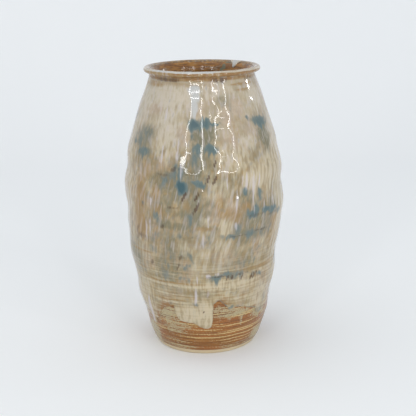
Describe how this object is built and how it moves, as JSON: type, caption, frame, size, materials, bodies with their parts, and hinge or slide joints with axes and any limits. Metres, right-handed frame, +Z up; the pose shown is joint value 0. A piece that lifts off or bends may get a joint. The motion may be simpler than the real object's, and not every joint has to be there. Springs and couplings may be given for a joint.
{
  "type": "vase",
  "caption": "Tall wheel-thrown stoneware vase: barrel body, narrow neck and rolled lip, amber liner glaze, cream and blue running glaze outside, bare turned foot.",
  "frame": {"origin": "centre of the foot, on the surface that the vase stands on", "axes": "+Z up the wheel axis through the mouth, -Y towards the side with the large cream run"},
  "size_m": [0.1594, 0.1594, 0.28],
  "materials": {
    "bare_clay": "matte, slightly sandy fired stoneware",
    "amber_liner": "glossy amber-brown glaze with streaks",
    "iron_base_coat": "satin iron-brown coat over fine turning grooves",
    "cream_top_coat": "glossy cream glaze with lavender, olive and blue streaks",
    "cream_runs": "glossy thick cream glaze"
  },
  "bodies": {
    "root": {"clay_body": "bare_clay", "liner_glaze": "amber_liner", "base_glaze": "iron_base_coat", "outer_glaze": "cream_top_coat", "glaze_runs": "cream_runs", "rim_run": "cream_runs"}
  },
  "joints": []
}
